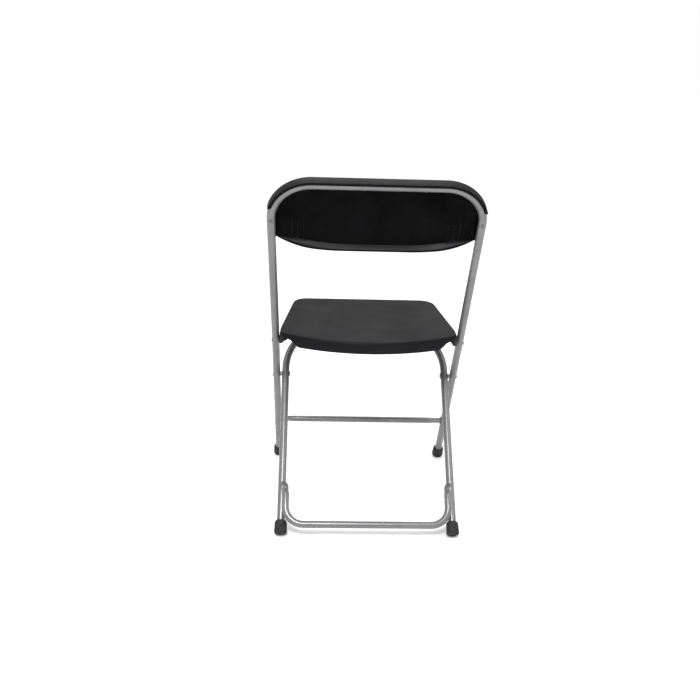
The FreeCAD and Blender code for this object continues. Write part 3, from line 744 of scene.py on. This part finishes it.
def pointMesh(name, places, **vectors):
    # loose points that carry a vector each under every given name
    mesh = newMesh(name, places, [])
    for label, values in vectors.items():
        layer = mesh.attributes.new(label, "FLOAT_VECTOR", "POINT")
        layer.data.foreach_set("vector", [part for value in values for part in value])
    return mesh


def headValues(kind, length, finish):
    values = {label: fasteners[kind + key] * mm for label, key in (
        ("Head Radius", "Head"), ("Head Height", "Height"), ("Rim", "Rim"), ("Shank Radius", "Shank"))}
    return values | {"Shank Length": length * mm, "Finish": materials[finish]}


def makeRivets(name, node, place):
    # a low head outside, and a domed one inside that carries the shank
    places, ways, sizes = [], [], []
    for label in ("left", "right"):
        low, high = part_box(f"{node}_{label}")
        inner = min(abs(low[0]), abs(high[0])) / mm + fasteners["rivetHeight"]
        outer = max(abs(low[0]), abs(high[0])) / mm - fasteners["rivetHeight"]
        side = 1 if low[0] > 0 else -1
        places += [across(place, side * outer), across(place, side * inner)]
        ways += [xAxis * side, xAxis * -side]
        sizes += [fasteners["outerHead"], (1.0, 1.0, 1.0)]
    values = headValues("rivet", outer - inner - 0.5, "rivetZinc")
    points = pointMesh(name + "Points", places, outward=ways, headSize=sizes)
    mesh = growMesh(name, points, rivetTree, values)
    placePiece(name, tidyMesh(mesh), "back_frame", [f"{node}_left", f"{node}_right"])


def makeScrews():
    places = [
        backPlace(side * fasteners["screwAcross"], fasteners["screwUp"], -chair["tubeRadius"])
        for side in (1, -1)
    ]
    values = headValues("screw", fasteners["screwLength"], "screwZinc")
    for part in ("Length", "Width", "Depth"):
        values["Recess " + part] = fasteners["recess" + part] * mm
    points = pointMesh("screwPoints", places, outward=[-backFront] * 2, headSize=[(1, 1, 1)] * 2)
    mesh = growMesh("backScrews", points, screwTree, values)
    placePiece("backScrews", tidyMesh(mesh), "back_frame", ["backrest_screws"])


makeRivets("pivotRivets", "pivot_rivet", pivot)
makeRivets("seatRivets", "seat_rivet", hinge)
makeScrews()


# Feet: fluted rubber caps, flared downwards, with a rounded shoulder and sole

feet = {
    "steps": 168,
    "soleDrop": 9.0,  # from the tube's end down to the sole
    "flutes": 28,
    "fluteDepth": 0.5,
    "profile": [  # up from the sole, radius
        (0.0, 4.0), (0.0, 9.6), (0.4, 11.5), (1.5, 13.1), (3.1, 14.2), (5.0, 14.6), (7.0, 14.55),
        (9.0, 14.5), (12.0, 14.4), (15.0, 14.3), (18.0, 14.2), (21.0, 14.1), (23.5, 14.0), (25.5, 13.8),
        (27.5, 13.3), (29.0, 12.5), (30.2, 11.4), (30.9, 10.2), (31.0, 9.3), (30.4, 8.6), (29.0, 8.4),
    ],
}


def addFoot(skin, sole, up):
    first = xAxis
    second = up.cross(first)
    rings = []
    for height, radius in feet["profile"]:
        grip = ramp(height, 5.0, 8.0) * (1 - ramp(height, 22.0, 26.0)) * feet["fluteDepth"]
        ring = []
        for step in range(feet["steps"]):
            turn = 2 * math.pi * step / feet["steps"]
            groove = max(0.0, math.cos(turn * feet["flutes"])) ** 2
            reach = radius - grip * groove
            point = sole + up * height + (first * math.cos(turn) + second * math.sin(turn)) * reach
            point.z = max(point.z, 0.0)  # worn flat where it stands
            ring.append(point)
        rings.append(ring)
    skin.addRings(rings)


def makeFeet(name, body, node, x, up, legEnd):
    skin = Skin()
    for side in (1, -1):
        addFoot(skin, across(pivot - up * (legEnd + feet["soleDrop"]), side * x), up)
    skin.place(name, body, "foot_rubber", [f"{node}_left", f"{node}_right"], "footRubber")


makeFeet("frontFeet", "back_frame", "front_foot", chair["halfFrame"], frontUp, chair["frontLegEnd"])
makeFeet("rearFeet", "rear_legs", "rear_foot", chair["halfRear"], rearUp, chair["rearLegEnd"])


# Outlines for the two shells


def roundCorner(before, corner, after, radius):
    back, onward = (before - corner).normalized(), (after - corner).normalized()
    opening = back.angle(onward)
    reach = radius / math.tan(opening / 2)
    middle = corner + (back + onward).normalized() * (radius / math.sin(opening / 2))
    start, end = corner + back * reach - middle, corner + onward * reach - middle
    sweep = math.pi - opening
    steps = max(3, int(radius * sweep / 2.5))
    return [
        middle + (start * math.sin(sweep * (1 - step / steps)) + end * math.sin(sweep * step / steps))
        / math.sin(sweep)
        for step in range(steps + 1)
    ]


def roundPath(start, corners, end):
    # an open path through rounded corners, given as x, y and radius
    places = [Vector(start)] + [Vector(corner[:2]) for corner in corners] + [Vector(end)]
    path = [places[0]]
    for step, corner in enumerate(corners, start=1):
        path += roundCorner(places[step - 1], places[step], places[step + 1], corner[2])
    return path + [places[-1]]


def spreadPath(path, gap):
    # the same path with points no further apart than gap
    spread = [path[0]]
    for start, end in zip(path, path[1:]):
        length = (end - start).length
        if length < 1e-6:
            continue
        steps = max(1, math.ceil(length / gap))
        spread += [start.lerp(end, step / steps) for step in range(1, steps + 1)]
    return spread


def closeMirrored(path):
    # the right half from the lower middle to the upper middle, and its mirror image
    return path + [Vector((-point.x, point.y)) for point in reversed(path[1:-1])]


def inwardWays(outline, reach=1):
    ways = []
    for step, point in enumerate(outline):
        along = (outline[(step + reach) % len(outline)] - outline[step - reach]).normalized()
        ways.append(Vector((-along.y, along.x)))
    return ways


def shrunk(outline, ways, distance, middle, part):
    return [middle.lerp(point + way * distance, part) for point, way in zip(outline, ways)]


def straightReach(straight, before, corner, after):
    # the radius that leaves a straight of this length beyond the corner before
    back, onward = Vector(before) - Vector(corner), Vector(after) - Vector(corner)
    return (back.length - straight) * math.tan(back.angle(onward) / 2)


# Seat shell: dished top, rounded edge, apron with an arch over each rear leg, and hinge ears

seat = {
    "gap": 3.0,  # point spacing along the outline
    "frontCorner": (180.5, -249.0, 40.0),  # across, behind the hinge, radius
    "sideCorner": (208.4, -8.0, 200.0),
    "rearCorner": (206.9, 36.0, 28.0),
    "rearTip": 138.0,
    "rearStraight": 41.0,
    "underRound": 2.5,
    "top": 28.5,
    "skin": 3.5,
    "dish": 2.6,
    "edgeIn": 5.5,
    "edgeDrop": 9.0,
    "wall": 3.0,
    "bottom": 1.0,
    "archFrom": 163.0,
    "archTo": 185.0,
    "archTop": 17.0,
    "archStart": 16.0,
    "earFrom": 44.5,  # where the skirt begins to fall from the arch to the hinge
    "earTo": 4.0,
    "earLow": -8.5,
    "earRise": 36.0,
    "earRadius": 9.0,
    "earThickness": 6.0,
    "earMiddle": 205.6,
    "bushDrop": 2.2,
    "barReach": 10.8,
    "trackMiddle": 45.0,
    "trackHalfGap": 10.0,
    "trackRib": 3.0,
    "trackFront": 235.0,
    "trackRear": 70.0,
    "stopDepth": 12.0,
    "stop": 8.0,
}

seatReach = bar - hinge
seatTilt = math.asin((seat["bushDrop"] + seat["barReach"]) / seatReach.length)
seatTilt -= math.atan2(-seatReach.z, -seatReach.y)
seatBack = Vector((0, math.cos(seatTilt), -math.sin(seatTilt)))
seatUp = Vector((0, math.sin(seatTilt), math.cos(seatTilt)))


def seatPlace(x, back, up):
    return hinge + xAxis * x + seatBack * back + seatUp * up


def seatOutline():
    corners = [seat["frontCorner"], seat["sideCorner"], seat["rearCorner"]]
    x, y = corners[2][:2]
    near, tip, far = Vector((x, y)), Vector((0.0, seat["rearTip"])), Vector((-x, y))
    # the long rear curve is symmetric, so only its first half is kept
    rear = roundCorner(near, tip, far, straightReach(seat["rearStraight"], near, tip, far))
    rear = rear[: len(rear) // 2 + 1]
    rear[-1] = Vector((0.0, rear[-1].y))
    path = roundPath((0.0, corners[0][1]), corners, rear[0]) + rear
    return closeMirrored(spreadPath(path, seat["gap"]))


def apronBottom(x, back):
    # an arch over each rear leg, and beyond it a skirt that falls to the hinge beside the tube
    side = abs(x)
    rise = 0.0
    if back > seat["archStart"]:
        rise = ramp(side, seat["archFrom"] - 3.0, seat["archTo"] + 3.0)
    low = blend(seat["bottom"], seat["archTop"], rise)
    if side > seat["archTo"] and back < seat["earFrom"]:
        fall = min((seat["earFrom"] - back) / (seat["earFrom"] - seat["earTo"]), 1.0)
        skirt = blend(seat["archTop"], seat["earLow"], fall ** 0.6)
        low = blend(seat["bottom"], skirt, ramp(back, -seat["earRise"], -9.0))
    return low


def seatRings():
    outline = seatOutline()
    ways = inwardWays(outline)
    middle = Vector((0.0, -95.0))
    inset, drop = seat["edgeIn"], seat["edgeDrop"]

    def dished(part):
        return seat["dish"] * (1 - part * part) ** 2

    def ring(distance, up):
        return [
            seatPlace(*(point + way * distance), up(*point) if callable(up) else up)
            for point, way in zip(outline, ways)
        ]

    def sheet(distance, part, up):
        places = shrunk(outline, ways, distance, middle, part)
        return [seatPlace(*place, up - dished(part)) for place in places]

    rings = [sheet(inset, part / 24, seat["top"]) for part in range(1, 25)]
    for step in range(1, 9):
        turn = math.pi / 2 * step / 8
        rings.append(ring(inset * (1 - math.sin(turn)), seat["top"] - drop * (1 - math.cos(turn))))
    rings.append(ring(0.0, lambda x, back: blend(seat["top"] - drop, apronBottom(x, back), 0.5)))
    wall, curve = seat["wall"], seat["underRound"]
    rims = ((0.0, 0.8), (0.25, 0.25), (0.8, 0.0), (wall - 0.8, 0.0), (wall - 0.25, 0.25), (wall, 0.8))
    for distance, above in rims:
        rings.append(ring(distance, lambda x, back: apronBottom(x, back) + above))
    under = seat["top"] - seat["skin"]
    rings.append(ring(wall, lambda x, back: blend(under - curve, apronBottom(x, back), 0.4)))
    for distance, height in ((wall, under - curve), (wall + 0.8, under - 0.8), (wall + curve, under)):
        rings.append(ring(distance, height))
    return rings + [sheet(wall + curve, part / 16, under) for part in range(15, 0, -1)]


def roundedPlate(skin, outline, place, half, edge):
    # a flat lug with rounded edges; place turns outline points and depth into a position
    ways = inwardWays(outline)
    rings = []
    for inset, depth in ((edge, -half), (edge * 0.3, -half + edge * 0.3), (0, -half + edge),
                         (0, half - edge), (edge * 0.3, half - edge * 0.3), (edge, half)):
        rings.append([place(*(point + way * inset), depth) for point, way in zip(outline, ways)])
    skin.addRings(rings)


def makeSeat():
    skin = Skin()
    skin.addRings(seatRings())
    radius = seat["earRadius"]
    ear = [Vector((-36.0, 16.0)), Vector((-36.0, 10.0))]
    ear += [Vector((math.sin(turn), -math.cos(turn))) * radius
            for turn in (math.radians(degrees) for degrees in range(-52, 69, 6))]
    ear += [Vector((24.0, 12.0)), Vector((24.0, 16.0))]
    for side in (1, -1):
        middle = side * seat["earMiddle"]
        roundedPlate(skin, ear, lambda back, up, depth: seatPlace(middle + depth, back, up),
                     seat["earThickness"] / 2, 0.8)
    face = (bar - hinge).dot(seatUp) + seat["barReach"]
    stopRear = (bar - hinge).dot(seatBack) - seat["barReach"]
    top = seat["top"] - seat["skin"] / 2 - seat["dish"]
    for side in (1, -1):
        middle = side * seat["trackMiddle"]
        blocks = [
            (middle + shift, seat["trackRib"] / 2, -seat["trackFront"], seat["trackRear"], face)
            for shift in (seat["trackHalfGap"], -seat["trackHalfGap"])
        ]
        blocks.append((middle, seat["trackHalfGap"], stopRear - seat["stop"], stopRear,
                       face - seat["stopDepth"]))
        for x, half, front, rear, low in blocks:
            plate = [Vector(corner) for corner in ((front, low), (rear, low), (rear, top), (front, top))]
            roundedPlate(skin, spreadPath(plate, 12.0) + [Vector((front, (low + top) / 2))],
                         lambda back, up, depth, x=x: seatPlace(x + depth, back, up), half, 0.6)
    skin.place("seatShell", "seat", "seat_plastic", ["seat_shell"], "seatPlastic")


makeSeat()


# Backrest shell: bowed panel, hooked over the tube at the top and lipped along the bottom

back = {
    "gap": 2.6,
    "front": 13.2,
    "panel": 4.0,
    "rim": 2.6,
    "hookDepth": -11.0,
    "hookStart": 359.5,  # the hook's end is cut obliquely, its rear side higher
    "hookFull": 366.0,
    "outStart": 358.5,
    "outFull": 362.0,
    "hookOut": 11.8,
    "hookLap": 3.6,  # the hook turns in behind the tube
    "plateOut": 9.0,
    "lipDepth": -9.0,
    "lipFull": 132.0,  # the lip is full to here and fades out at the sides
    "lipEnd": 211.0,
    "lipTop": 290.0,
    "lipSlope": 8.0,  # the lip's inner face leans this far up the panel
    "bow": 8.0,
    "bowHalf": 207.0,
    "bowTop": 400.0,
    "low": 261.0,
    "bottomHalf": 142.1,
    "side": (227.5, 288.2),
    "sideRound": 22.0,
    "sideStraight": 17.7,
    "joinUp": 328.0,  # below the start of the tube's bend
    "frontRound": 2.4,
    "shadedFacing": 0.94,  # faces turned this far to the rear take the darker finish, painted shade
}


def backOutline():
    bottom, side = (back["bottomHalf"], back["low"]), back["side"]
    longRound = straightReach(back["sideStraight"], side, bottom, (-bottom[0], bottom[1]))
    slope = (chair["halfTop"] - chair["halfFrame"]) / chair["backLength"]
    joinUp = back["joinUp"]
    join = (chair["halfFrame"] + slope * joinUp + back["plateOut"] - 0.6, joinUp)
    path = roundPath((0.0, back["low"]), [(*bottom, longRound), (*side, back["sideRound"])], join)
    # above the sides the edge follows the tube, stepping out where the hook begins
    corner = (chair["halfTop"], chair["backLength"], tubes["topBend"])
    start = (chair["halfFrame"] + slope * joinUp, joinUp)
    tube = spreadPath(roundPath(start, [corner], (0.0, chair["backLength"])), 1.5)
    upper = []
    for step, point in enumerate(tube):
        along = (tube[min(step + 1, len(tube) - 1)] - tube[max(step - 1, 0)]).normalized()
        way = Vector((along.y, -along.x))
        edge = point + way * back["hookOut"]
        out = blend(back["plateOut"], back["hookOut"], ramp(edge.y, back["outStart"], back["outFull"]))
        upper.append(point + way * out)
    upper[-1] = Vector((0.0, upper[-1].y))
    return closeMirrored(spreadPath(spreadPath(path, back["gap"]) + upper[1:], back["gap"]))


def bowAt(x, up):
    fade = (back["bowTop"] - up) / (back["bowTop"] - back["low"])
    crown = 1 - (x / back["bowHalf"]) ** 2
    return back["bow"] * min(max(fade, 0.0), 1.05) * max(crown, 0.0)


def lipPart(x, up):
    if up > back["lipTop"]:
        return 0.0
    toGo = min(max((abs(x) - back["lipFull"]) / (back["lipEnd"] - back["lipFull"]), 0.0), 1.0)
    return 1 - toGo ** 2


def wallEnd(x, up):
    # how far behind the wall reaches: the hook at the top, the lip below, else only the panel
    end = back["front"] - back["panel"]
    hooked = min(max((up - back["hookStart"]) / (back["hookFull"] - back["hookStart"]), 0.0), 1.0)
    end = blend(end, back["hookDepth"], hooked)
    return blend(end, back["lipDepth"], lipPart(x, up))


def backRings():
    outline = backOutline()
    ways = inwardWays(outline, 4)
    middle = Vector((0.0, 350.0))
    rear = back["front"] - back["panel"]
    edge, rim = back["frontRound"], back["rim"]

    def ring(distance, depth):
        # both may follow the outline; depth also sees the place that was moved in
        points = []
        for point, way in zip(outline, ways):
            place = point + way * (distance(point) if callable(distance) else distance)
            points.append(backPlace(*place, depth(place, point)))
        return points

    def sheet(distance, part, depth):
        places = shrunk(outline, ways, distance, middle, part)
        return [backPlace(*place, depth - bowAt(*place)) for place in places]

    def onFront(less):
        return lambda place, point: back["front"] - less - bowAt(*place)

    def onWall(less):
        return lambda place, point: min(wallEnd(*point) + less, rear - bowAt(*place) + less)

    def lapRing(part, less):
        def lapped(point):
            return rim + part * back["hookLap"] * ramp(point.y, back["hookStart"], back["hookFull"])

        return ring(lapped, onWall(less))

    def innerRing(part):
        def inset(point):
            return rim + back["lipSlope"] * blend(part ** 5, part, lipPart(*point))

        def rise(place, point):
            panel = rear - bowAt(*place)
            done = blend(1 - (1 - part) ** 4, part ** 0.8, lipPart(*point))
            return blend(min(wallEnd(*point) + 1.9, panel), panel, done)

        return ring(inset, rise)

    rings = [sheet(edge, part / 24, back["front"]) for part in range(1, 25)]
    for step in range(1, 6):
        turn = math.pi / 2 * step / 5
        rings.append(ring(edge * (1 - math.sin(turn)), onFront(edge * (1 - math.cos(turn)))))
    rings.append(ring(0.0, onFront(3.0)))
    for distance, less in ((0.0, 0.8), (0.25, 0.25), (0.8, 0.0), (rim - 0.8, 0.0), (rim - 0.1, 0.05)):
        rings.append(ring(distance, onWall(less)))
    # the lap turns in behind the tube along the hook only
    rings += [lapRing(part, less) for part, less in ((0.2, 0.5), (1.0, 1.1), (0.2, 1.7))]
    rings.append(ring(rim, onWall(1.9)))
    # from the wall to the panel: a tight fillet along the hook, a sloping face along the lip
    rings += [innerRing(part) for part in (0.15, 0.35, 0.55, 0.75, 0.9, 1.0)]
    return rings + [sheet(rim + back["lipSlope"], part / 30, rear) for part in range(30, 0, -1)]


def makeBack():
    skin = Skin()
    skin.addRings(backRings())
    # the shell takes the darkened plastic: painted shade
    mesh = skin.place("backShell", "back_frame", "back_plastic", ["backrest_shell"], "backPlasticShaded")
    # faces turned to the rear get a darker copy of the plastic: painted shade on the side away from the
    # light
    mesh.materials.append(materials["backRearShade"])
    for face in mesh.polygons:
        face.material_index = int(face.normal.dot(-backFront) > back["shadedFacing"])


makeBack()


# Ribs behind the panel: a tall pair beside each tube and slim ones further in

backRibs = {
    "thickness": 1.1,
    "taper": 0.35,  # reach at the top, of the reach below
    "places": [  # across, lowest, highest, reach behind the panel
        (153.5, 268.0, 336.0, 3.4),
        (166.0, 270.0, 322.0, 1.4),
        (178.0, 274.0, 330.0, 1.2),
        (203.4, 284.0, 376.0, 5.0),
        (207.2, 286.0, 376.0, 5.0),
    ],
}


def makeRibTree():
    tree, given = startTree("panelRibs", {"Taper": 0.4, "Sides": 20})
    top = mathNode(tree, "MULTIPLY", given["Taper"], 0.5)
    cone = {"Vertices": given["Sides"], "Radius Top": top, "Radius Bottom": 0.5, "Depth": 1.0}
    blade = addNode(tree, "GeometryNodeMeshCone", cone)
    lift = addNode(tree, "GeometryNodeTransform",
                   {"Geometry": blade.outputs[0], "Translation": (0.0, 0.0, -0.5)})
    named = {label: namedVector(tree, label) for label in ("ribSize", "ribUp", "ribOut")}
    upright = addNode(tree, "FunctionNodeAlignRotationToVector", {"Vector": named["ribUp"]}, axis="Z")
    facing = {"Rotation": upright.outputs[0], "Vector": named["ribOut"]}
    turned = addNode(tree, "FunctionNodeAlignRotationToVector", facing, axis="Y", pivot_axis="Z")
    placeCopies(tree, given, given["Geometry"], lift, turned.outputs[0], named["ribSize"])
    return tree


def makeBackRibs():
    places, sizes, ups, outs = [], [], [], []
    rear = back["front"] - back["panel"]
    for x, low, high, reach in backRibs["places"]:
        for side in (1, -1):
            foot = backPlace(side * x, low, rear - bowAt(x, low))
            head = backPlace(side * x, high, rear - bowAt(x, high))
            places.append((foot + head) / 2)
            sizes.append(Vector((backRibs["thickness"], 2 * reach, (head - foot).length)) * mm)
            ups.append((head - foot).normalized())
            outs.append(-backFront)
    points = pointMesh("ribPoints", places, ribSize=sizes, ribUp=ups, ribOut=outs)
    # the ribs take the lighter finish: a painted highlight along them
    values = {"Taper": backRibs["taper"], "Sides": 20, "Finish": materials["ribHighlightPaint"]}
    mesh = growMesh("backRibs", points, makeRibTree(), values)
    placePiece("backRibs", tidyMesh(mesh), "back_frame", ["backrest_shell"])


makeBackRibs()


# Finishes for the small parts that keep their own shape

keptFinishes = {
    "pivot_spacer": "rivetZinc",
    "pivot_bush": "bushNylon",
    "seat_bush": "bushNylon",
    "bar_sleeve": "bushNylon",
}
for node, finish in keptFinishes.items():
    for label in ("left", "right"):
        kept = frame["nodes"][f"{node}_{label}"]
        kept.data.materials.clear()
        kept.data.materials.append(materials[finish])
print("small parts finished")


# Studio

studio = {
    "cameraPlace": (0.126, 1.949, 1.0124),
    "cameraYaw": -2.481,
    "cameraDown": 18.168,
    "cameraRoll": 1.759,
    "lens": 44.18,
    "floorSize": 80.0,
    "floorTone": (0.94, 0.94, 0.94, 1.0),
    "skyLow": (0.42, 0.42, 0.42, 1.0),
    "skyTop": (1.45, 1.45, 1.45, 1.0),
    "lights": [  # place, aim, size, power
        ((0.3, 1.9, 2.7), (0.0, 0.0, 0.3), 0.9, 60.0),
        ((0.0, -1.0, 3.0), (0.0, 0.0, 0.4), 2.4, 25.0),
        ((-2.6, 0.6, 1.8), (0.0, 0.0, 0.4), 1.4, 8.0),
    ],
}


def makeCamera():
    yaw, down, roll = (math.radians(studio[key]) for key in ("cameraYaw", "cameraDown", "cameraRoll"))
    forward = Vector((math.sin(yaw) * math.cos(down), -math.cos(yaw) * math.cos(down), -math.sin(down)))
    level = forward.cross(Vector((0, 0, 1))).normalized()
    above = level.cross(forward)
    right = level * math.cos(roll) + above * math.sin(roll)
    up = above * math.cos(roll) - level * math.sin(roll)
    camera = addObject("camera", bpy.data.cameras.new("camera"))
    camera.data.lens = studio["lens"]
    camera.data.sensor_width = 36.0
    camera.data.clip_end = 300.0
    turn = Matrix((right, up, -forward)).transposed().to_4x4()
    camera.matrix_world = Matrix.Translation(studio["cameraPlace"]) @ turn
    bpy.context.scene.camera = camera


def makeLights():
    for count, (place, aim, size, power) in enumerate(studio["lights"]):
        data = bpy.data.lights.new(f"softLight{count}", "AREA")
        data.shape = "DISK"
        data.size = size
        data.energy = power
        light = addObject(data.name, data)
        light.location = place
        light.rotation_euler = (Vector(aim) - Vector(place)).to_track_quat("-Z", "Y").to_euler()


def makeAir():
    # a pale sky that is brighter overhead, seen as plain white behind the floor
    world = bpy.data.worlds.new("studioAir")
    bpy.context.scene.world = world
    world.use_nodes = True
    tree = world.node_tree
    tree.nodes.clear()
    coords = addNode(tree, "ShaderNodeTexCoord", {})
    height = addNode(tree, "ShaderNodeSeparateXYZ", {0: coords.outputs["Generated"]})
    tones = addNode(tree, "ShaderNodeMix", {"Factor": height.outputs["Z"], "A": studio["skyLow"],
                                            "B": studio["skyTop"]}, data_type="RGBA")
    sky = addNode(tree, "ShaderNodeBackground", {"Color": tones.outputs["Result"]})
    plain = addNode(tree, "ShaderNodeBackground", {"Color": (1.0, 1.0, 1.0, 1.0)})
    seen = addNode(tree, "ShaderNodeLightPath", {})
    choose = addNode(tree, "ShaderNodeMixShader",
                     {0: seen.outputs["Is Camera Ray"], 1: sky.outputs[0], 2: plain.outputs[0]})
    addNode(tree, "ShaderNodeOutputWorld", {"Surface": choose.outputs[0]})


def makeFloor():
    half = studio["floorSize"] / 2 / mm
    corners = [Vector((x, y, 0.0)) for x, y in ((-half, -half), (half, -half), (half, half), (-half, half))]
    floor = addObject("floor", newMesh("floor", corners, [(0, 1, 2, 3)]))
    material, tree, surface, place = startFinish("floorPaper")
    surface.inputs["Base Color"].default_value = studio["floorTone"]
    surface.inputs["Roughness"].default_value = 0.9
    surface.inputs["Specular IOR Level"].default_value = 0.1
    floor.data.materials.append(material)


makeCamera()
makeLights()
makeAir()
makeFloor()
bpy.context.scene.view_settings.view_transform = "Standard"
print("studio ready")
